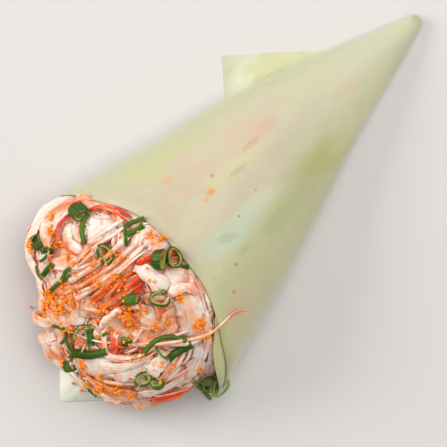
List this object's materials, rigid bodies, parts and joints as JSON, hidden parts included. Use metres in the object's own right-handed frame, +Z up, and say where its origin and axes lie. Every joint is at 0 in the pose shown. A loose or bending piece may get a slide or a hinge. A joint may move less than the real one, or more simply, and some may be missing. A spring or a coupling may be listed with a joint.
{
  "type": "temaki hand roll",
  "caption": "Cone-shaped hand roll lying on its side: one thin pale sheet rolled round shredded crab-stick salad that heaps out of the mouth.",
  "frame": {"origin": "middle of the bounding box on the plane that the roll lies on", "axes": "+X from the mouth to the tip, +Y to the left seen from the mouth towards the tip, +Z up, away from the surface it lies on"},
  "size_m": [0.1542, 0.0755, 0.0366],
  "materials": {
    "soy_sheet": "thin, smooth, slightly see-through sheet",
    "crab_salad": "moist shreds"
  },
  "bodies": {
    "root": {"wrapper": "soy_sheet", "filling": "crab_salad"}
  },
  "joints": []
}
